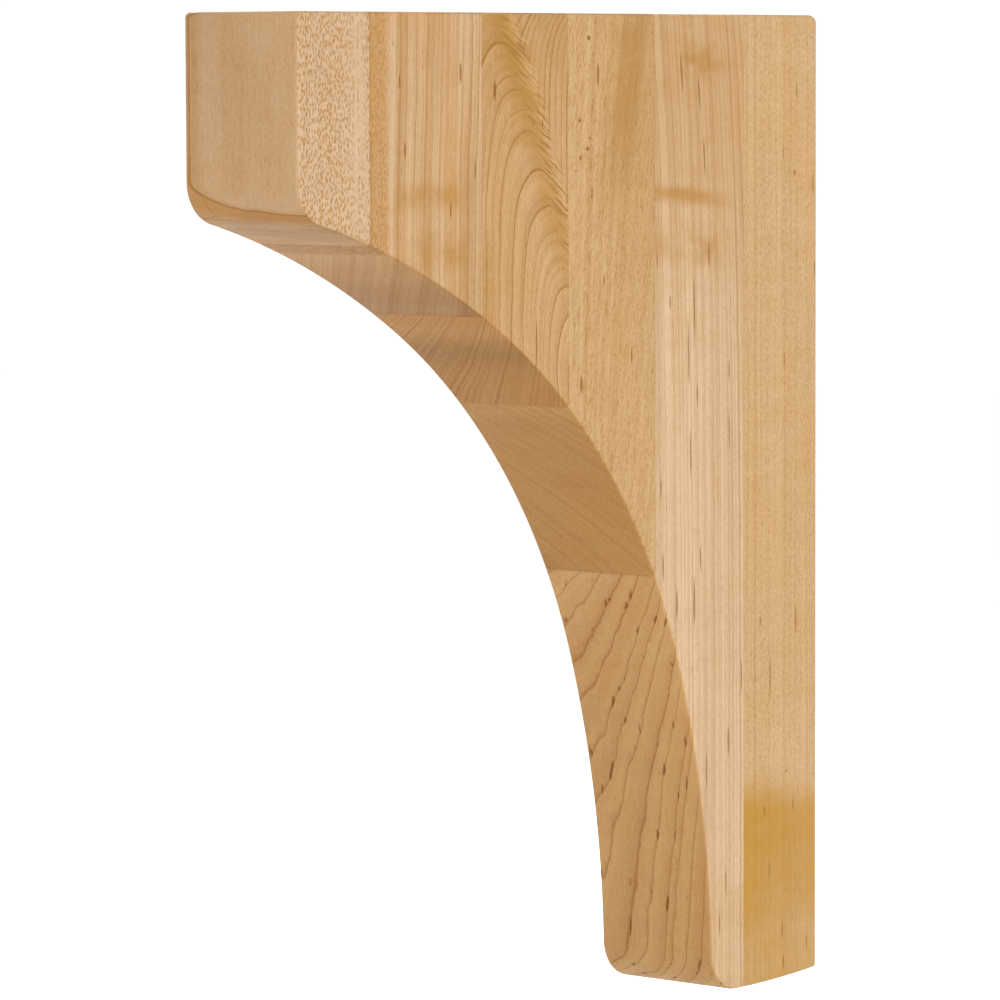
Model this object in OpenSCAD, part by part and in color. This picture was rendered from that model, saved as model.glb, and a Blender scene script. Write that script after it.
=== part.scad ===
// Wooden corbel bracket: a plain shelf corbel with one deep cove, sawn from an
// edge-glued blank of six maple staves.
//
// Frame: the wall is the plane y = 0, and the corbel stands out from it towards -Y.
// X runs along the wall and +Z is up. The origin is the middle of the wall face.
// The glue joints are upright planes parallel to the wall.
//
// The profile runs down the flat nose, round the lip, along the cove and round the toe
// to the foot. It is a chain of five arcs, each one tangent to the next. A slope is how
// far the profile points below level there: 90 is straight down, 0 is level.

/* [Blank] */
// Width across the corbel, along the wall
width = 44.5; // [25:0.5:90]
// Projection from the wall, under the shelf
projection = 241.3; // [235:0.1:265]
// Height of the wall face
height = 304.8; // [295:0.1:340]

/* [Profile] */
// Radius of the lip, which turns the nose into the cove
lip_radius = 13; // [8:0.5:20]
// Slope where the lip meets the cove
lip_slope = 14.5; // [10:0.5:20]
// Radius of the cove's upper part
upper_radius = 286; // [240:2:310]
// Slope where the upper part ends
upper_slope = 32; // [25:0.5:35]
// Radius of the cove's middle part
middle_radius = 196; // [180:2:210]
// Slope where the middle part ends
middle_slope = 72; // [65:0.5:75]
// Radius of the cove's lower part
lower_radius = 322; // [280:2:360]
// Slope where the cove meets the toe
lower_slope = 88.5; // [80:0.5:89]
// Radius of the toe, which turns the cove into the foot
toe_radius = 13; // [8:0.5:18]
// Radius of the slight crown under the foot
crown_radius = 435; // [300:5:900]
// Distance from the wall to the lowest point of the crown
crown_depth = 38.5; // [30:0.5:45]
// Radius of the top corner at the wall
top_corner_radius = 2.5; // [1:0.5:6]

/* [Staves] */
// Thickness of the first stave, the one behind the nose
stave_1 = 30.5; // [25:0.5:40]
// Thickness of the second stave
stave_2 = 49; // [35:0.5:50]
// Thickness of the third stave
stave_3 = 39.5; // [35:0.5:42]
// Thickness of the fourth stave
stave_4 = 41; // [35:0.5:42]
// Thickness of the fifth stave; the sixth, on the wall, takes what is left
stave_5 = 44; // [36:0.5:46]

/* [Hidden] */
$fn = 256;

top_z = height / 2;
foot_z = -height / 2;
nose_y = -projection;
margin = 10;

// Glue joints, from the nose to the wall: the running sum of the staves' thicknesses.
thickness = [stave_1, stave_2, stave_3, stave_4, stave_5];
function run_to(n) = n == 0 ? 0 : run_to(n - 1) + thickness[n - 1];
joint_y = [for (n = [0:5]) nose_y + run_to(n), 0];

// The arcs of the profile, from the lip to the toe: radius, side of the wood, first and
// last slope. The side is 1 where the centre lies in the wood and -1 where it lies outside.
arcs = [
    [lip_radius, 1, 90, lip_slope],
    [upper_radius, -1, lip_slope, upper_slope],
    [middle_radius, -1, upper_slope, middle_slope],
    [lower_radius, -1, middle_slope, lower_slope],
    [toe_radius, 1, lower_slope, 0]
];

// The direction square to the profile, into the wood, where it has this slope.
function inward(slope) = [sin(slope), cos(slope)];
function sweep(a) = a[1] * a[0] * (inward(a[2]) - inward(a[3]));
function travel(n) = n == 0 ? [0, 0] : travel(n - 1) + sweep(arcs[n - 1]);

// The toe's arc ends level with the foot, which settles how high the nose is.
lip_start = [nose_y, foot_z - travel(len(arcs))[1]];
turning = [for (n = [0:len(arcs)]) lip_start + travel(n)];

module disc(centre, radius) {
    translate(centre) circle(r = radius);
}

// The slice of a disc that lies behind one arc of the profile.
module slice(n) {
    radius = arcs[n][0];
    side = arcs[n][1];
    slopes = [arcs[n][2], (arcs[n][2] + arcs[n][3]) / 2, arcs[n][3]];
    centre = turning[n] + side * radius * inward(slopes[0]);
    intersection() {
        disc(centre, radius);
        polygon([centre, for (s = slopes) centre - side * 2 * radius * inward(s)]);
    }
}

// The square bit left outside the round of the top corner at the wall.
module top_corner_waste() {
    corner = [-top_corner_radius, top_z - top_corner_radius];
    difference() {
        translate(corner) square(top_corner_radius + margin);
        disc(corner, top_corner_radius);
    }
}

// Side view of the whole corbel, drawn with y across and z up.
module side_outline() {
    difference() {
        intersection() {
            union() {
                polygon([[nose_y, top_z], each turning, [0, foot_z], [0, top_z]]);
                slice(0);
                slice(4);
            }
            disc([-crown_depth, foot_z + crown_radius], crown_radius);
        }
        for (n = [1:3]) slice(n);
        top_corner_waste();
    }
}

// One stave: the part of the outline between two glue joints, as thick as the corbel is wide.
module stave(n) {
    rotate([90, 0, 90])
        translate([0, 0, -width / 2])
            linear_extrude(width)
                intersection() {
                    side_outline();
                    translate([joint_y[n], foot_z - margin])
                        square([joint_y[n + 1] - joint_y[n], height + 2 * margin]);
                }
}

module nose_stave() {
    color([0.86, 0.73, 0.58]) stave(0);
}

module second_stave() {
    color([0.84, 0.69, 0.51]) stave(1);
}

module third_stave() {
    color([0.85, 0.71, 0.53]) stave(2);
}

module fourth_stave() {
    color([0.82, 0.66, 0.47]) stave(3);
}

module fifth_stave() {
    color([0.89, 0.77, 0.62]) stave(4);
}

module wall_stave() {
    color([0.83, 0.68, 0.49]) stave(5);
}

nose_stave();
second_stave();
third_stave();
fourth_stave();
fifth_stave();
wall_stave();
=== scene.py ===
"""A wooden corbel bracket: the looks of its six maple staves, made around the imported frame."""
import math

import bpy
from mathutils import Matrix, Vector


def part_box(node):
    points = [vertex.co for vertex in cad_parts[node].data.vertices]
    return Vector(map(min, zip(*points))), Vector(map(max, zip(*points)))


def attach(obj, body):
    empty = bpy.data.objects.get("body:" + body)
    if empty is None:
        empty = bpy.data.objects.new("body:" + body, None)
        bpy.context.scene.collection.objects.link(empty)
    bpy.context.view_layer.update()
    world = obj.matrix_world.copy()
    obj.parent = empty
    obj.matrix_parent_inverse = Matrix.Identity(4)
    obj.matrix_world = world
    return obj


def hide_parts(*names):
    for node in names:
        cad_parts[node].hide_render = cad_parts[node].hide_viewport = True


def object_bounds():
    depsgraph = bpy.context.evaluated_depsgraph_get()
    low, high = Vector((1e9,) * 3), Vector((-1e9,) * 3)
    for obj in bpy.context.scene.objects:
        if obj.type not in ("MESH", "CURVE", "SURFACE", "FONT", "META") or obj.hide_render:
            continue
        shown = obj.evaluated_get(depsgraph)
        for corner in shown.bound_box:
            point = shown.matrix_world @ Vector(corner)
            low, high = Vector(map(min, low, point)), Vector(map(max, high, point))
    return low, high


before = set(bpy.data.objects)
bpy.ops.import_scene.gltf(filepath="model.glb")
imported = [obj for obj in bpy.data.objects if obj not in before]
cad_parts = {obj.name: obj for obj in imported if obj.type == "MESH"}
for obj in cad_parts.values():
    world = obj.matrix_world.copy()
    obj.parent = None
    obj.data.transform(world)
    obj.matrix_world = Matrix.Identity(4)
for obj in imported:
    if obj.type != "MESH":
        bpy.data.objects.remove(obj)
cad_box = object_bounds()

# Shapes are in metres. The wood's figures are drawn in millimetres.
MM = 0.001

# ---------------------------------------------------------------- the corbel's profile

# Front to back, from the nose to the wall. Each stave is one piece of wood.
STAVES = ["nose_stave", "second_stave", "third_stave", "fourth_stave", "fifth_stave", "wall_stave"]

low, high = cad_box
HALF_WIDTH = high.x
NOSE_Y = low.y
WALL_Y = high.y
TOP_Z = high.z
FOOT_Z = -TOP_Z
JOINTS = [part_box(name)[0].y for name in STAVES[1:]]

# Each arc: radius in metres, side (1 with its centre in the wood, -1 outside it), and the
# slopes in degrees below level where it starts and ends. They are those of the CAD profile.
ARCS = [
    (13 * MM, 1, 90, 14.5),
    (286 * MM, -1, 14.5, 32),
    (196 * MM, -1, 32, 72),
    (322 * MM, -1, 72, 88.5),
    (13 * MM, 1, 88.5, 0),
]
CROWN_RADIUS = 435 * MM
CROWN_Y = -38.5 * MM
FRONT_CORNER = 1.6 * MM
WALL_CORNER = 2.5 * MM

# The round-over along the long edges, and the much smaller one where the sides meet the wall.
EASE = 1.4 * MM
WALL_EASE = 0.3 * MM
EASE_STEPS = 5

# How fine the meshes are: a step along a line or an arc, and the most an arc turns in one.
LINE_STEP = 12 * MM
ARC_STEP = 1.2 * MM
ARC_TURN = math.radians(9)

# Points nearer than SAME_POINT are one, and corners sharper than SHARP_ANGLE stay crisp.
SAME_POINT = 0.0001 * MM
SHARP_ANGLE = math.radians(25)

# How many times a part is halved to find where a glue joint crosses it.
HALVINGS = 50


def inward(slope):
    """The direction square to the profile, into the wood, where it has this slope."""
    a = math.radians(slope)
    return Vector((math.sin(a), math.cos(a)))


def arc_ends():
    """Where the profile's arcs start and end, from the top of the lip to the foot."""
    travel = [Vector((0, 0))]
    for radius, side, first, last in ARCS:
        travel.append(travel[-1] + side * radius * (inward(first) - inward(last)))
    start = Vector((NOSE_Y, FOOT_Z - travel[-1].y))
    return [start + t for t in travel]


def angle_of(direction):
    return math.atan2(direction.y, direction.x)


def outline(inset):
    """The side outline, drawn in by inset, as lines and arcs in order from the wall's top
    corner to the nose, down the cove to the foot and up the wall. A line is its two ends,
    and an arc is its centre, its radius, and the angles where it starts and ends."""
    top = TOP_Z - inset
    nose = NOSE_Y + inset
    wall = WALL_Y - inset * WALL_EASE / EASE
    front = FRONT_CORNER - inset
    back = WALL_CORNER - inset
    ends = arc_ends()
    front_centre = Vector((NOSE_Y + FRONT_CORNER, TOP_Z - FRONT_CORNER))
    back_centre = Vector((wall - back, TOP_Z - WALL_CORNER))
    parts = [
        ("line", Vector((back_centre.x, top)), Vector((front_centre.x, top))),
        ("arc", front_centre, front, math.pi / 2, math.pi),
        ("line", Vector((nose, front_centre.y)), Vector((nose, ends[0].y))),
    ]
    for (radius, side, first, last), start in zip(ARCS, ends):
        centre = start + side * radius * inward(first)
        from_angle = angle_of(-side * inward(first))
        to_angle = angle_of(-side * inward(last))
        if side > 0 and to_angle < from_angle:
            to_angle += 2 * math.pi
        parts.append(("arc", centre, radius - side * inset, from_angle, to_angle))
    crown = Vector((CROWN_Y, FOOT_Z + CROWN_RADIUS))
    radius = CROWN_RADIUS - inset
    first = math.asin((ends[-1].x - crown.x) / radius) - math.pi / 2
    last = math.asin((wall - crown.x) / radius) - math.pi / 2
    heel = crown + radius * Vector((math.cos(last), math.sin(last)))
    parts += [
        ("arc", crown, radius, first, last),
        ("line", heel, Vector((wall, back_centre.y))),
        ("arc", back_centre, back, 0, math.pi / 2),
    ]
    return parts


def point_on(part, t):
    """The point a share t of the way along a line or an arc."""
    if part[0] == "line":
        return part[1].lerp(part[2], t)
    _, centre, radius, first, last = part
    a = first + (last - first) * t
    return centre + radius * Vector((math.cos(a), math.sin(a)))


def crossing(part, y):
    """How far along a part it crosses the plane at y, or None. No part crosses it twice."""
    start, end = point_on(part, 0).x - y, point_on(part, 1).x - y
    if start * end >= 0:
        return None
    near, far = 0.0, 1.0
    for _ in range(HALVINGS):
        middle = (near + far) / 2
        if (point_on(part, middle).x - y) * start > 0:
            near = middle
        else:
            far = middle
    return (near + far) / 2


def crossings(part):
    """How far along a part each glue joint that it crosses lies."""
    found = [crossing(part, y) for y in JOINTS]
    return [t for t in found if t is not None]


def part_steps(part, first, last):
    """How many steps a stretch of a part takes: more on tight arcs, few on straight lines."""
    if part[0] == "line":
        length = (part[2] - part[1]).length * (last - first)
        return max(1, round(length / LINE_STEP))
    turn = abs(part[4] - part[3]) * (last - first)
    return max(2, math.ceil(turn * part[2] / ARC_STEP), math.ceil(turn / ARC_TURN))


def stave_plan(index):
    """The stretches of the outline that one stave owns, as (part's number, its ends, steps).
    An end is how far along the part a joint cuts it, or None where the part itself ends."""
    limits = [-math.inf] + JOINTS + [math.inf]
    plan = []
    for number, part in enumerate(outline(0)):
        cuts = sorted([0.0, 1.0] + crossings(part))
        for first, last in zip(cuts, cuts[1:]):
            middle = point_on(part, (first + last) / 2).x
            if limits[index] < middle < limits[index + 1]:
                ends = (first if first > 0 else None, last if last < 1 else None)
                plan.append((number, ends, part_steps(part, first, last)))
    return plan


def stave_loop(plan, inset):
    """The closed outline of one stave, drawn in by inset, with its glue faces kept in place."""
    points = []
    parts = outline(inset)
    for number, ends, steps in plan:
        part = parts[number]
        first, last = 0.0, 1.0
        if ends[0] is not None:
            first = min(crossings(part), key=lambda t: abs(t - ends[0]))
        if ends[1] is not None:
            last = min(crossings(part), key=lambda t: abs(t - ends[1]))
        for step in range(steps + 1):
            p = point_on(part, first + (last - first) * step / steps)
            if not points or (p - points[-1]).length > SAME_POINT:
                points.append(p)
    if (points[0] - points[-1]).length < SAME_POINT:
        points.pop()
    return points


def stave_mesh(index):
    """A stave as loops of its outline across the width, eased where they near each side."""
    plan = stave_plan(index)
    sections = []
    for step in range(EASE_STEPS + 1):
        a = math.pi / 2 * step / EASE_STEPS
        sections.append((HALF_WIDTH - EASE + EASE * math.cos(a), EASE * (1 - math.sin(a))))
    sections += [(-x, inset) for x, inset in reversed(sections)]
    loops = [[(x, p.x, p.y) for p in stave_loop(plan, inset)] for x, inset in sections]
    count = len(loops[0])
    assert all(len(loop) == count for loop in loops), STAVES[index]
    verts = [v for loop in loops for v in loop]
    faces = []
    for start in range(0, len(verts) - count, count):
        for n in range(count):
            a, b = start + n, start + (n + 1) % count
            faces.append((a, a + count, b + count, b))
    faces.append(tuple(range(count)))
    faces.append(tuple(reversed(range(len(verts) - count, len(verts)))))
    mesh = bpy.data.meshes.new(STAVES[index] + "_wood")
    mesh.from_pydata(verts, [], faces)
    mesh.validate()
    mesh.update()
    return mesh


def add_stave(index, material):
    """Puts a stave's visual piece in place of its CAD solid."""
    piece = bpy.data.objects.new(STAVES[index] + "_wood", stave_mesh(index))
    bpy.context.collection.objects.link(piece)
    piece.data.materials.append(material)
    piece.data.shade_smooth()
    piece.data.set_sharp_from_angle(angle=SHARP_ANGLE)
    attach(piece, "root")
    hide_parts(STAVES[index])


# ---------------------------------------------------------------- wood, from nodes

def feed(tree, slot, value):
    """Gives a node's input a number, a colour, or what another node works out."""
    if isinstance(value, Number):
        tree.links.new(value.socket, slot)
    else:
        slot.default_value = value


class Number:
    """A number or vector that a node gives out. Arithmetic on it adds nodes to its material."""

    def __init__(self, tree, socket):
        self.tree = tree
        self.socket = socket

    def node(self, kind, operation, *values):
        """Adds a node that does this operation on these values."""
        node = self.tree.nodes.new(kind)
        node.operation = operation
        for slot, value in zip(node.inputs, values):
            feed(self.tree, slot, value)
        return node

    def math(self, operation, *others):
        return Number(self.tree, self.node("ShaderNodeMath", operation, self, *others).outputs[0])

    def vector(self, operation, *others):
        node = self.node("ShaderNodeVectorMath", operation, self, *others)
        return Number(self.tree, node.outputs["Value" if operation == "LENGTH" else "Vector"])

    def __add__(self, other):
        return self.math("ADD", other)

    def __sub__(self, other):
        return self.math("SUBTRACT", other)

    def __mul__(self, other):
        return self.math("MULTIPLY", other)

    def __radd__(self, other):
        return self + other

    def __rsub__(self, other):
        return self * -1 + other

    def __pow__(self, other):
        return self.math("POWER", other)

    def __abs__(self):
        return self.math("ABSOLUTE")

    def exp(self):
        return self.math("EXPONENT")

    def over(self, other):
        """This or the other, whichever is more."""
        return self.math("MAXIMUM", other)

    def under(self, other):
        """This or the other, whichever is less."""
        return self.math("MINIMUM", other)

    def kept(self):
        """This, kept from 0 to 1."""
        return self.over(0).under(1)

    def fade(self, start, end):
        """0 up to start, 1 from end, and a smooth slope between; start may be above end."""
        node = self.tree.nodes.new("ShaderNodeMapRange")
        node.interpolation_type = "SMOOTHSTEP"
        feed(self.tree, node.inputs["Value"], self)
        node.inputs["From Min"].default_value = min(start, end)
        node.inputs["From Max"].default_value = max(start, end)
        node.inputs["To Min"].default_value = 0 if start < end else 1
        node.inputs["To Max"].default_value = 1 if start < end else 0
        return Number(self.tree, node.outputs["Result"])

    def bump(self, middle, half):
        """1 at middle, falling smoothly to 0 a distance of half away on both sides."""
        return abs(self - middle).fade(half, 0)


# How far from the middle the streaks lie, just under the +X side, and how many half widths
# they reach in.
STREAK_X = 22
STREAK_DEPTH = 8


class Grain:
    """One material and the coordinates its figure is drawn in, in millimetres: x across from
    the middle, u back from the nose, t down from the top and w in from the +X side. side is
    1 on the two sides, rim is 1 on the surfaces that run round the profile, level is 1 on
    those that face up or down, and hidden is 1 on the top and the back."""

    def __init__(self, name, pale, deep, gold):
        self.colours = [paint(*colour) for colour in (pale, deep, gold)]
        self.material = bpy.data.materials.new(name)
        self.material.use_nodes = True
        self.tree = self.material.node_tree
        self.shader = self.tree.nodes["Principled BSDF"]
        coordinates = self.tree.nodes.new("ShaderNodeTexCoord")
        metres = Number(self.tree, coordinates.outputs["Object"])
        offset = (0, -NOSE_Y / MM, TOP_Z / MM)
        self.place = metres.vector("MULTIPLY_ADD", (1 / MM, 1 / MM, -1 / MM), offset)
        self.x, self.u, self.t = self.split(self.place)
        self.w = HALF_WIDTH / MM - self.x
        facing = self.split(Number(self.tree, coordinates.outputs["Normal"]))
        self.side = abs(facing[0]).fade(0.45, 0.9)
        self.rim = 1 - self.side
        self.level = abs(facing[2])
        self.hidden = facing[1].over(facing[2]).fade(0.2, 0.7)

    def split(self, vector):
        """A vector's three numbers."""
        node = self.tree.nodes.new("ShaderNodeSeparateXYZ")
        feed(self.tree, node.inputs[0], vector)
        return [Number(self.tree, output) for output in node.outputs]

    def join(self, x, u, t):
        """The vector of three numbers."""
        node = self.tree.nodes.new("ShaderNodeCombineXYZ")
        for slot, value in zip(node.inputs, (x, u, t)):
            feed(self.tree, slot, value)
        return Number(self.tree, node.outputs[0])

    def noise(self, per_mm, seed, detail=2.0, place=None):
        """Soft random values about 0.5, with this many waves a millimetre along x, u and t."""
        node = self.tree.nodes.new("ShaderNodeTexNoise")
        node.inputs["Scale"].default_value = 1
        node.inputs["Detail"].default_value = detail
        far_off = (seed * 7.3, seed * 3.1, seed * 5.7)
        spot = (place or self.place).vector("MULTIPLY_ADD", per_mm, far_off)
        feed(self.tree, node.inputs["Vector"], spot)
        return Number(self.tree, node.outputs[0])

    def threads(self, depth, per_mm, seed, detail, per_mm_along=0.0):
        """Random lightness about 0 in thin layers of equal depth, slowly changing along them."""
        layers = self.join(0, depth, self.t)
        return self.noise((0, per_mm, per_mm_along), seed, detail, layers) - 0.5

    def cells(self, flat_place):
        """The distance from the nearest of many scattered points, about one a unit square."""
        node = self.tree.nodes.new("ShaderNodeTexVoronoi")
        node.voronoi_dimensions = "2D"
        node.inputs["Scale"].default_value = 1
        feed(self.tree, node.inputs["Vector"], flat_place)
        return Number(self.tree, node.outputs["Distance"])

    def wander(self, amount, per_mm, seed):
        """A soft random shift of up to about this many millimetres either way."""
        return (self.noise(per_mm, seed, 1.0) - 0.5) * (2 * amount)

    def rings(self, depth, edges):
        """Counts the growth rings from the depths of their edges: whole at each edge."""
        curve = self.tree.nodes.new("ShaderNodeFloatCurve")
        first, last, count = edges[0], edges[-1], len(edges) - 1
        points = curve.mapping.curves[0].points
        for number, edge in enumerate(edges[1:-1], 1):
            points.new((edge - first) / (last - first), number / count)
        for point in points:
            point.handle_type = "VECTOR"
        curve.mapping.update()
        feed(self.tree, curve.inputs["Value"], (depth - first) * (1 / (last - first)))
        return Number(self.tree, curve.outputs[0]) * count

    def chance(self, number, seed):
        """A random value from 0 to 1 for each whole number."""
        node = self.tree.nodes.new("ShaderNodeTexWhiteNoise")
        node.noise_dimensions = "1D"
        feed(self.tree, node.inputs["W"], number.math("FLOOR") + seed * 0.37)
        return Number(self.tree, node.outputs["Value"])

    def latewood(self, ring, seed, width, softness):
        """Darkening towards the end of each ring, sharpest at its edge, more on some rings."""
        part = ring.math("FRACT")
        line = part.fade(1 - width, 0.97) * part.fade(1.0, 0.965)
        wash = part.fade(0.25, 1.0)
        return (line + wash * softness) * (self.chance(ring, seed) * 0.6 + 0.4)

    def streaks(self, marks, place=None):
        """Small dark spindles on the +X side: (u, t, half length along t, half width)."""
        total = None
        for u, t, half_length, half_width in marks:
            sizes = (STREAK_DEPTH * half_width, half_width, half_length)
            away = (place or self.place).vector("SUBTRACT", (STREAK_X, u, t))
            mark = away.vector("DIVIDE", sizes).vector("LENGTH").fade(1.0, 0.45)
            total = total.over(mark) if total else mark
        return total

    def blend(self, colour, other, amount, kind="MIX"):
        """The first colour turning into the other, or darkened by it, by an amount from 0 to 1."""
        node = self.tree.nodes.new("ShaderNodeMix")
        node.data_type = "RGBA"
        node.blend_type = kind
        feed(self.tree, node.inputs["Factor"], amount)
        # The node has sockets for numbers and vectors too; these are its colour ones.
        feed(self.tree, node.inputs[6], colour)
        feed(self.tree, node.inputs[7], other)
        return Number(self.tree, node.outputs[2])


# How much light the +X side gets, and how much of it the wood's faint gloss sends back.
SIDE_LIGHT = 1.91
SIDE_GLOSS = 0.026


def paint(r, g, b):
    """The base colour of wood that shows as this sRGB colour, 0 to 255, on the lit +X side."""
    shown = [((c / 255 + 0.055) / 1.055) ** 2.4 for c in (r, g, b)]
    return (*(max(0, (c - SIDE_GLOSS) / SIDE_LIGHT) for c in shown), 1)


GLUE_BROWN = paint(160, 108, 45)
MARK_BROWN = paint(150, 100, 25)

# Painted shade: the surfaces that run round the profile are painted darker and browner than the
# lit sides, the nose least and the cove most.
NOSE_PAINTED_SHADE = (0.99, 0.91, 0.77, 1)
COVE_PAINTED_SHADE = (0.86, 0.71, 0.43, 1)

GLOSS = 0.2
ROUGHNESS = 0.5
RELIEF = 0.35
RELIEF_DEPTH = 0.1 * MM

# The glue joints' places, in millimetres back from the nose.
GLUE = [round((y - NOSE_Y) / MM, 3) for y in JOINTS]


def dress(g, tone, warm, marks, shade, glue):
    """Turns a stave's figure into its colour, roughness and fine relief. Where tone is 1 the
    wood is at its deepest, where warm is 1 it is golden, and where marks is 1 it is dark.
    shade is how light it is, and glue lists its joints as (place, half width, strength)."""
    pale, deep, gold = g.colours
    fibre = g.noise((0.9, 0.9, 0.045), 3, 3.0) - 0.5
    fine = g.noise((2.2, 2.2, 0.9), 5) - 0.5
    mottle = g.noise((0.05, 0.06, 0.025), 9) - 0.5
    cross = g.noise((0.03, 0.045, 0.16), 13) - 0.5
    pores = g.noise((1.9, 1.9, 0.3), 17, 1.0).fade(0.64, 0.76)

    tone = (tone + fine * 0.7 + fibre * 0.5).kept()
    warm = (warm + mottle * 0.6 + cross * 0.45).kept()
    colour = g.blend(pale, deep, tone)
    colour = g.blend(colour, gold, warm)
    colour = g.blend(colour, GLUE_BROWN, pores * 0.3)
    for joint, half_width, strength in glue:
        waver = g.wander(0.25, (0.3, 0, 0.25), 21 + joint)
        line = abs(g.u + waver - joint).fade(half_width, half_width * 0.35)
        colour = g.blend(colour, GLUE_BROWN, line * strength)
    colour = g.blend(colour, MARK_BROWN, marks)
    # Painted shade: the surfaces round the profile are multiplied darker and browner, most on the
    # cove below the nose, least on the nose, the top and the back.
    below_nose = g.u.fade(1.5, 7) * (1 - g.hidden)
    rim_painted_shade = g.blend(NOSE_PAINTED_SHADE, COVE_PAINTED_SHADE, below_nose)
    colour = g.blend(colour, rim_painted_shade, g.rim, "MULTIPLY")

    # The figure still shows a little where the gold hides it.
    figure = (0.32 - tone) * warm * 0.22
    lightness = shade + fibre * 0.12 + mottle * 0.14 + figure
    colour = colour.vector("SCALE")
    feed(g.tree, colour.socket.node.inputs["Scale"], lightness)
    feed(g.tree, g.shader.inputs["Base Color"], colour)

    roughness = tone * 0.10 + fibre * 0.15 + ROUGHNESS + g.level * 0.06
    feed(g.tree, g.shader.inputs["Roughness"], roughness)
    g.shader.inputs["Specular IOR Level"].default_value = GLOSS

    relief = g.tree.nodes.new("ShaderNodeBump")
    relief.inputs["Strength"].default_value = RELIEF
    relief.inputs["Distance"].default_value = RELIEF_DEPTH
    height = fibre * 0.8 + fine * 0.6 - pores * 0.8 - tone * 0.12
    feed(g.tree, relief.inputs["Height"], height)
    g.tree.links.new(relief.outputs["Normal"], g.shader.inputs["Normal"])
    return g.material


# ---------------------------------------------------------------- the six staves' figures

# Each stave's ring edges are depths into its tree, in millimetres, in that stave's own
# measure. Marks are as streaks takes them: u, t, half length and half width. In the
# functions, fade and bump take places in millimetres wherever they act on u, t or a depth,
# and each call of wander, noise or threads has a seed of its own.

NOSE_RINGS = [-20, -9, 0, 5.5, 10, 14.5, 19, 22.5, 26, 30, 34]

# The heart of its tree lay far in front of the nose, off to the +X side.
HEART_X = 30
HEART_U = -298
HEART_RADIUS = 302.2


def nose_maple():
    """Rings lie almost flat to the nose, and the sides show close ray flecks."""
    g = Grain("nose_maple", (223, 191, 157), (184, 136, 76), (196, 148, 88))
    depth = ((g.x - HEART_X) ** 2 + (g.u - HEART_U) ** 2) ** 0.5 - HEART_RADIUS
    depth = depth + g.wander(0.9, (0.12, 0.02, 0.05), 31) * g.level
    rings = g.latewood(g.rings(depth, NOSE_RINGS), 2, 0.12, 0.35)
    soft = g.noise((0.05, 0.22, 0.01), 32).fade(0.3, 0.7)
    plain = rings * 0.3 + soft * 0.25 + 0.08

    # The edge of one ring runs round the nose as a thin line, with golden wood outside it.
    edge = (abs(depth) - g.level * 0.25).fade(0.12, 0.02) * (0.65 + g.t.fade(40, 52) * 0.45)
    outside = depth.fade(-0.1, 0.1) * depth.fade(4.5, 1.5) * (g.t.fade(40, 55) * 0.6 + 0.2)
    warm = (outside + g.t.fade(45, 0) * 0.15 + g.t.fade(53, 61) * 0.2) * g.rim

    # Ray flecks: close upright spots with ragged edges, and calmer strips near the joint.
    shift = g.wander(0.5, (0.3, 0.35, 0.3), 33)
    spots = g.cells(g.join(g.u * 1.1 + shift, g.t * 0.52 + shift * 0.5, 0)).fade(0.46, 0.18)
    ragged = g.noise((0.5, 1.6, 0.6), 36, 1.0).fade(0.50, 0.66)
    calm = g.u.bump(25.5, 5.5) * g.noise((0.1, 1.1, 0.02), 37).fade(0.42, 0.55)
    fleck = (spots * 0.8).over(ragged * 0.45) * (1 - calm * 0.9) * g.side
    tone = plain * (1 - g.side * 0.6) + fleck * 0.9 + edge * g.rim

    # A short slanting line below the ring's edge.
    slanting = (g.x + 17 - (g.t - 50) * 0.35).bump(0, 0.45) * g.t.bump(56, 6)
    marks = slanting * g.rim * 0.5
    # Painted shade under the nose's lip: the cove just behind the nose is darkened. The top of the
    # nose face and of the sides is also a little darker.
    underside = g.u.bump(16, 14) * 0.18 + g.t.fade(60, 0) * 0.03 * g.u.fade(6, 0)
    shade = 1 - underside * g.rim - g.t.fade(60, 0) * 0.04 * g.side
    return dress(g, tone, warm, marks, shade, [(GLUE[0], 0.55, 0.5)])


SECOND_RINGS = [
    -22, -18, -14, -10, -5.5, -0.5, 4, 8, 12.6, 17, 21, 25.8, 30, 34, 38.5, 43.3, 45.6, 50, 54.6,
    57.5, 61.2, 64, 68.5, 70.5, 74.6, 77.5, 80, 84,
]
SECOND_MARKS = [
    (70, 17.5, 4, 0.6), (45.4, 40, 3.5, 0.55), (65.4, 57.5, 3, 0.5), (76.3, 46, 4, 0.4),
    (57.6, 90, 9, 0.35), (43.2, 20, 3, 0.4),
]


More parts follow.
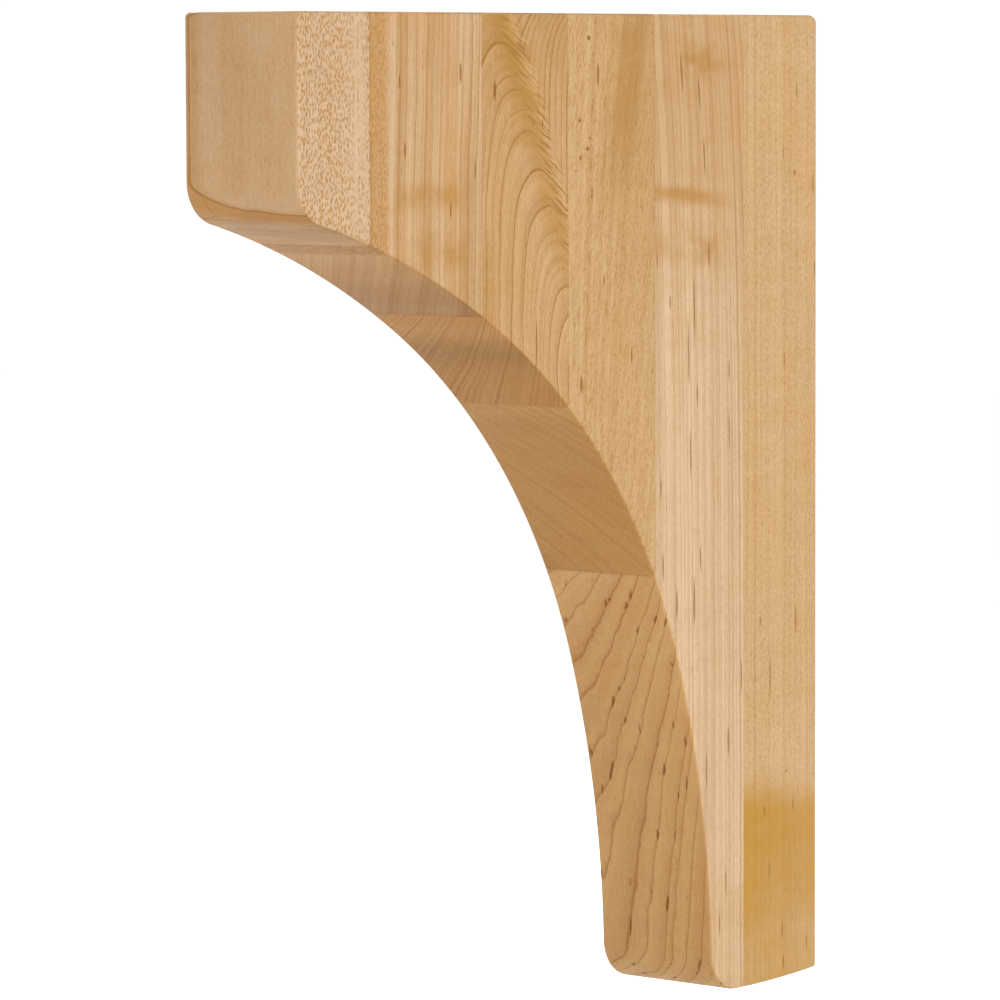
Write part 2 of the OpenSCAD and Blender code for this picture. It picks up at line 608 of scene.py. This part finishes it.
def second_maple():
    """Straight stripes, with a flecked golden strip along the nose joint and two soft bands."""
    g = Grain("second_maple", (222, 186, 145), (180, 134, 80), (194, 147, 88))
    depth = g.u + (g.t - 40) * 0.03 - g.w * 1.05
    depth = depth + g.wander(1.6, (0.02, 0.03, 0.02), 41) + g.wander(0.45, (0.1, 0.2, 0.08), 42)
    stripes = g.latewood(g.rings(depth, SECOND_RINGS), 4, 0.25, 0.5) * (0.32 - g.rim * 0.12)
    thin = g.threads(depth, 0.9, 43, 3.0)
    hair = g.threads(depth, 1.7, 49, 1.0, 0.008)
    broad = g.threads(depth, 0.16, 48, 1.0, 0.006)
    tone = stripes + thin * 1.1 + hair * 0.9 * g.side + broad * (g.side * 0.7 + 0.3) + 0.20

    # The strip by the nose joint is flecked where the rest is striped.
    strip = (g.u + g.wander(0.8, (0.1, 0.1, 0.06), 44)).fade(39.8, 36.0)
    grit = g.noise((0.6, 1.3, 0.8), 45).fade(0.40, 0.62)
    tone = tone * (1 - strip) + strip * (grit * 0.7 + 0.05)

    # Two level bands, patchy and fading towards both joints.
    wave = g.t + g.wander(2.5, (0.03, 0.04, 0.02), 46)
    patchy = g.noise((0.1, 0.2, 0.10), 47).fade(0.1, 0.75)
    bands = wave.bump(53, 6) + wave.bump(70, 9) * 1.1 * g.u.fade(40, 56)
    bands = bands * g.u.fade(78, 66) * g.u.fade(38, 45) * patchy
    tone = tone + bands * 0.12

    uprights = g.u.bump(66, 7) * 0.55 + g.u.bump(53, 8) * 0.35
    warm = strip * 0.7 + bands * 0.62 + uprights * g.side + g.rim * g.u.fade(40, 70) * 0.65
    warm = warm - g.u.bump(76, 5) * 0.3 + (broad - 0.02).over(0) * 2.2
    marks = g.streaks(SECOND_MARKS) * 0.85
    shade = 1 - g.rim * g.u.fade(48, 76) * 0.16
    return dress(g, tone, warm, marks, shade, [(GLUE[0], 0.45, 0.4), (GLUE[1], 0.3, 0.15)])


THIRD_ARCHES = [
    -40, -34, -29, -24, -19.5, -14.5, -10, -5, 0, 5, 10.1, 14.5, 16.2, 19, 21.8, 27.1, 31.9, 35.4,
    36.6, 40.5, 42.8, 46.5, 50.5, 55, 60, 66,
]
THIRD_LINES = [
    60, 64, 69, 73, 78, 82, 87, 91, 95, 97, 100, 102.5, 105.5, 108, 110.4, 113, 116, 118.5, 122,
]
THIRD_MARKS = [(85.3, 23, 3.8, 0.8), (104, 98, 10, 0.35), (107, 33, 2, 0.3)]


def third_maple():
    """Flat-sawn arches that point up, feathered along the right of their spine."""
    g = Grain("third_maple", (218, 177, 128), (164, 114, 53), (183, 137, 70))

    # The arches are rings about a spine that leans back as it goes down and widens upwards.
    u = g.u + g.wander(0.9, (0.06, 0.08, 0.06), 51)
    t = g.t + g.wander(1.2, (0.06, 0.08, 0.06), 52)
    spine = u - t * 0.50 + t * t * 0.001 - 84.5
    rise = (120 - t) * 0.45
    across = spine * (1.45 - t * 0.0045) + spine.over(0) * 0.8
    radius = (across * across + rise * rise) ** 0.5 + g.w * 0.95 - g.w * g.w * 0.0046
    arch = g.latewood(g.rings(60 - radius, THIRD_ARCHES), 5, 0.11, 0.5)
    thin = g.threads(radius, 1.0, 53, 3.0, 0.01)

    # Behind the spine the side has upright lines instead, which lean back near the top.
    right = g.u - (g.t * -0.14).exp() * 8 - g.w * 0.6 + g.wander(0.5, (0.05, 0.1, 0.04), 54)
    lines = g.latewood(g.rings(right, THIRD_LINES), 6, 0.35, 0.3) * 0.5
    share = spine.fade(6.5, 9.5) * g.t.fade(86, 74) * g.side

    # Slanting barbs feather the arches where the two figures meet.
    slanted = g.t - g.u * 0.62 + g.wander(1.0, (0.1, 0.2, 0.2), 57)
    barbs = g.noise((0.15, 0.13, 1.35), 55, 2.0, g.join(g.x, g.u, slanted)) - 0.5
    fringe = spine.fade(0, 4) * spine.fade(12, 6.5) * g.t.fade(92, 78) * g.side
    flow = arch * (0.5 + g.side * 0.18) * (1 - fringe * 0.6) + thin * (1.8 - g.side * 0.9)
    tone = flow * (1 - share) + lines * share + fringe * (barbs * 5.6 + 0.02)
    tone = tone + g.t.fade(60, 0) * 0.16 + 0.14

    shadow = spine.fade(-8, 2) * spine.fade(9, 4) * g.t.fade(96, 80)
    side_gold = shadow * 0.6 - spine.bump(16, 7) * 0.25 + g.t.fade(60, 0) * 0.2
    rim_gold = g.u.fade(80, 97) * 0.32 + g.u.bump(99, 10) * 0.2 + 0.08
    low_gold = g.u.fade(88, 82) * g.t.fade(50, 90) * 0.45
    warm = side_gold * g.side + rim_gold * g.rim + low_gold + 0.1
    marks = g.streaks(THIRD_MARKS) * 0.95
    shade = 1 + g.rim * (g.u.fade(95, 80) * 0.11 - g.u.bump(99, 10) * 0.13 + 0.03)
    return dress(g, tone, warm, marks, shade, [(GLUE[1], 0.3, 0.2), (GLUE[2], 0.3, 0.1)])


FOURTH_MARKS = [
    (133, 18.5, 5, 0.7), (128.6, 7.3, 1.1, 1.2), (124.3, 32, 0.8, 0.9), (129, 37.3, 0.6, 0.5),
    (128, 40.5, 0.8, 1.1), (124.6, 43.2, 0.9, 0.7), (122.5, 47, 0.6, 0.5), (124.8, 111, 3.2, 0.8),
    (148.8, 103.5, 3.2, 0.5), (135.6, 80, 2, 0.45), (130, 54, 3.4, 0.4),
]


def fourth_maple():
    """Plain and golden, with fine slanting pores and a darker slanting band near the top."""
    g = Grain("fourth_maple", (219, 181, 132), (178, 132, 74), (184, 139, 80))
    slant = (g.u - GLUE[2]) * 0.006
    depth = g.u + g.t * slant + g.w * 1.2 + g.wander(1.5, (0.03, 0.05, 0.02), 61)
    thin = g.threads(depth, 0.45, 62, 3.0)
    leaning = g.join(g.x, g.u + g.t * 0.25, g.t)
    dashes = g.noise((1.6, 1.9, 0.26), 63, 2.0, leaning).fade(0.48, 0.74)
    grit = g.noise((1.1, 1.5, 0.9), 64, 1.0).fade(0.46, 0.70)
    tone = thin * 1.15 + (dashes * 0.42 + grit * 0.26) * (g.side * 0.7 + 0.3) + 0.18

    band = (g.u + g.t * 0.2).bump(151, 12) * g.t.fade(75, 25) * g.t.fade(-6, 8)
    back = g.u.fade(126, 158) * g.t.fade(120, 40)
    front = g.u.fade(126, 121) * g.t.fade(30, 60)
    warm = band * 0.55 + back * 0.3 - front * 0.35 + g.rim * 0.25 + 0.05
    marks = g.streaks(FOURTH_MARKS) * 0.85
    return dress(g, tone, warm, marks, 1, [(GLUE[2], 0.3, 0.1), (GLUE[3], 0.3, 0.25)])


FIFTH_RINGS = [
    122, 126, 129.5, 133.5, 137, 141, 145, 149, 153.5, 156.2, 158.9, 163.3, 166.1, 169.9, 171.4,
    174.7, 178, 182, 185.9, 189.8, 191.9, 195.3, 199, 202, 206,
]
FIFTH_MARKS = [
    (173.2, 18, 7.2, 0.6), (181.8, 24, 7.2, 0.6), (184.3, 43.5, 7.2, 0.51),
    (186.6, 74, 5.6, 0.51), (179.3, 90, 12.8, 0.51), (176.5, 104, 12.8, 0.51),
    (180.8, 117, 4.8, 0.43), (177.4, 135, 9.6, 0.43), (196.7, 110, 4, 0.43),
    (196.7, 129, 8, 0.34), (162.8, 144.5, 4.8, 0.51), (167.5, 88, 3.2, 0.43),
    (163.8, 169, 5.6, 0.51), (170.6, 181, 6.4, 0.6), (179.2, 181, 9.6, 0.68),
    (182.3, 167.5, 4.8, 0.51), (196.2, 226, 6.4, 0.6), (202.9, 206, 6.4, 0.43),
    (185.3, 234, 8, 0.43), (194.9, 270, 6.4, 0.43), (191.7, 283, 4.5, 0.43),
    (161.2, 75, 3.5, 0.34),
]

# Its lines drift back below the top, fast at first: by 7.5 mm far down.
DRIFT = 7.5
DRIFT_REACH = 60


def drift(t):
    """How far back the fifth stave's lines have drifted at t millimetres below the top."""
    return DRIFT * (1 - math.exp(-t / DRIFT_REACH))


def fifth_maple():
    """The palest: crisp upright lines with thin brown streaks, and bold rings across the cove."""
    g = Grain("fifth_maple", (229, 196, 158), (184, 138, 88), (194, 148, 90))
    upright = g.u - (1 - (g.t * (-1 / DRIFT_REACH)).exp()) * DRIFT
    wobble = g.wander(0.9, (0.08, 0.05, 0.05), 71) + g.wander(0.3, (0.3, 0.3, 0.15), 72)
    wobble = wobble * ((g.w * 0.05).under(1) + 0.3)
    depth = upright - g.w * 0.67 + g.w * g.w * 0.0046 + wobble
    ring = g.rings(depth, FIFTH_RINGS)
    part = ring.math("FRACT")
    line = g.latewood(ring, 8, 0.35, 0.45)
    cut = part.fade(0.84, 0.96) * part.fade(1.0, 0.975)
    thin = g.threads(depth, 1.0, 73, 2.0)
    broad = g.threads(depth, 0.22, 76, 1.0, 0.004)
    tone = line * (0.18 + g.side * 0.12) + cut * g.rim * 0.42
    tone = tone + thin * (0.3 + g.side * 0.7) + broad + 0.17

    # Three stain bands cross the side, rising a little towards the front.
    bend = g.t - (g.u - GLUE[3]) * 0.09
    patchy = g.noise((0.1, 0.14, 0.2), 75).fade(0.2, 0.7)
    upper = (g.t - g.u * 0.1).bump(-4, 8) * g.u.bump(181, 17) * patchy
    middle = bend.bump(54, 4.2) * 0.6 * g.u.fade(203, 182)
    lower = bend.bump(70, 9) * 0.5 * g.u.fade(203, 185) * patchy
    ends = g.t.fade(125, 10) * 0.62 + g.t.fade(255, 280) * 0.2
    warm = (upper + middle + lower + ends) * g.side + g.rim * 0.12

    # Streaks follow the drifting lines, and dark blots sit on the ring edges in the cove.
    straightened = [(u - drift(t), t, length, width) for u, t, length, width in FIFTH_MARKS]
    streaks = g.streaks(straightened, g.join(g.x, upright, g.t)) * 0.72
    blots = g.noise((0.42, 0.42, 0.11), 74, 1.0).fade(0.61, 0.68) * part.fade(0.65, 0.92)
    marks = streaks.over(blots * g.rim * 0.95)
    shade = 1 + g.rim * (g.t.fade(240, 165) * 0.09 - g.t.fade(262, 290) * 0.03)
    return dress(g, tone, warm, marks, shade, [(GLUE[3], 0.3, 0.2), (GLUE[4], 0.3, 0.1)])


WALL_MARKS = [
    (231, 23.5, 3.6, 0.5), (224.2, 43, 3.4, 0.4), (239.5, 53, 4.5, 0.45), (230, 49.5, 1.5, 0.8),
    (240.4, 80, 4, 0.35), (224.7, 108, 3.5, 0.45), (230.7, 190.7, 6, 0.6), (217.6, 208, 9, 0.5),
    (212.5, 189.6, 2.2, 0.6), (214.5, 250, 2.4, 0.5), (229.3, 249, 2.4, 0.5),
    (217.2, 269, 3.4, 0.55), (223.8, 289, 4, 0.55), (236.5, 294, 3.5, 0.5), (224.4, 299, 3, 0.6),
    (226, 238.3, 0.6, 0.9),
]


def wall_maple():
    """Plain flecked tan with a few dark dashes, warmer and darker below 240 mm."""
    g = Grain("wall_maple", (221, 184, 139), (188, 145, 92), (196, 148, 68))
    depth = g.u + g.w * 0.5 + g.wander(1.0, (0.03, 0.05, 0.01), 81)
    thin = g.threads(depth, 0.6, 82, 3.0)
    hair = g.threads(depth, 1.5, 87, 2.0, 0.012)
    steep = g.join(g.x, g.u - g.t * 0.35, g.t)
    fleck = g.noise((1.0, 1.7, 0.8), 83, 1.0, steep).fade(0.40, 0.64)
    gentle = g.join(g.x, g.u, g.t - g.u * 0.3)
    rays = g.noise((0.4, 0.22, 0.9), 86, 2.0, gentle) - 0.5
    flecks = fleck * 0.36 * (0.35 + g.t.fade(260, 215) * 0.65)
    tone = thin * 0.8 + hair * 0.9 + rays * 0.35 + flecks + 0.12

    wavy = g.t + g.wander(3.0, (0.03, 0.06, 0.02), 84) - g.u.fade(215, 235) * 4
    low = wavy.fade(236, 250) * (0.9 - g.t.fade(262, 300) * 0.35 - g.u.fade(215, 240) * 0.15)
    light = g.t.bump(228, 13) * g.u.fade(206, 232)
    warm = low - light * 0.3 + 0.1
    marks = g.streaks(WALL_MARKS) * 0.62
    return dress(g, tone, warm, marks, 1, [(GLUE[4], 0.3, 0.1)])


FIGURES = [nose_maple, second_maple, third_maple, fourth_maple, fifth_maple, wall_maple]
for index, figure in enumerate(FIGURES):
    add_stave(index, figure())


# ---------------------------------------------------------------- floor, light and camera

# The floor reaches this many metres each way, and lies this far below the foot.
FLOOR_HALF = 6.0
FLOOR_DROP = 0.25
FLOOR_WHITE = (0.97, 0.97, 0.97, 1)
FLOOR_ROUGHNESS = 0.9

# Each soft light: its name, its place in metres and its power in watts. All are squares of
# LIGHT_SIZE and face LIGHT_TARGET, the corbel's middle.
LIGHTS = [
    ("key", (1.9, -0.5, 0.9), 38),
    ("front", (0.1, -2.2, 0.9), 14),
    ("fill", (-1.8, 1.3, 0.9), 30),
]
LIGHT_SIZE = 1.4
LIGHT_TARGET = Vector((0, -0.12, 0))
SKY_LIGHT = 1.04

# The camera's turn to the left, tip down and roll are in degrees, its place is in metres,
# and its lens and sensor are in millimetres.
CAMERA_TURN = (40.55, 4.566, -0.21)
CAMERA_PLACE = Vector((1.0575, -1.3643, 0.136))
CAMERA_LENS = 194.5
CAMERA_SENSOR = 36


def add_floor():
    """A pale floor some way below the corbel."""
    material = bpy.data.materials.new("floor_paint")
    material.use_nodes = True
    shader = material.node_tree.nodes["Principled BSDF"]
    shader.inputs["Base Color"].default_value = FLOOR_WHITE
    shader.inputs["Roughness"].default_value = FLOOR_ROUGHNESS
    corners = [(-1, -1), (1, -1), (1, 1), (-1, 1)]
    verts = [(x * FLOOR_HALF, y * FLOOR_HALF, FOOT_Z - FLOOR_DROP) for x, y in corners]
    mesh = bpy.data.meshes.new("floor")
    mesh.from_pydata(verts, [], [(0, 1, 2, 3)])
    mesh.materials.append(material)
    floor = bpy.data.objects.new("floor", mesh)
    bpy.context.collection.objects.link(floor)


def add_light(name, place, power):
    light = bpy.data.lights.new(name, "AREA")
    light.shape = "SQUARE"
    light.size = LIGHT_SIZE
    light.energy = power
    lamp = bpy.data.objects.new(name, light)
    lamp.location = place
    lamp.rotation_euler = (LIGHT_TARGET - Vector(place)).to_track_quat("-Z", "Y").to_euler()
    bpy.context.collection.objects.link(lamp)


def add_camera():
    """A long lens from the front right, nearly level with the corbel's top, tipped down."""
    yaw, pitch, roll = (math.radians(a) for a in CAMERA_TURN)
    turn = Matrix.Rotation(yaw, 4, "Z") @ Matrix.Rotation(math.pi / 2 - pitch, 4, "X")
    turn = turn @ Matrix.Rotation(roll, 4, "Z")
    camera = bpy.data.objects.new("camera", bpy.data.cameras.new("camera"))
    camera.data.lens = CAMERA_LENS
    camera.data.sensor_width = CAMERA_SENSOR
    camera.matrix_world = Matrix.Translation(CAMERA_PLACE) @ turn
    bpy.context.collection.objects.link(camera)
    bpy.context.scene.camera = camera


def add_sky():
    world = bpy.data.worlds.new("studio")
    world.use_nodes = True
    background = world.node_tree.nodes["Background"]
    background.inputs["Color"].default_value = (1, 1, 1, 1)
    background.inputs["Strength"].default_value = SKY_LIGHT
    bpy.context.scene.world = world


add_floor()
add_camera()
for light in LIGHTS:
    add_light(*light)
add_sky()
bpy.context.scene.view_settings.view_transform = "Standard"
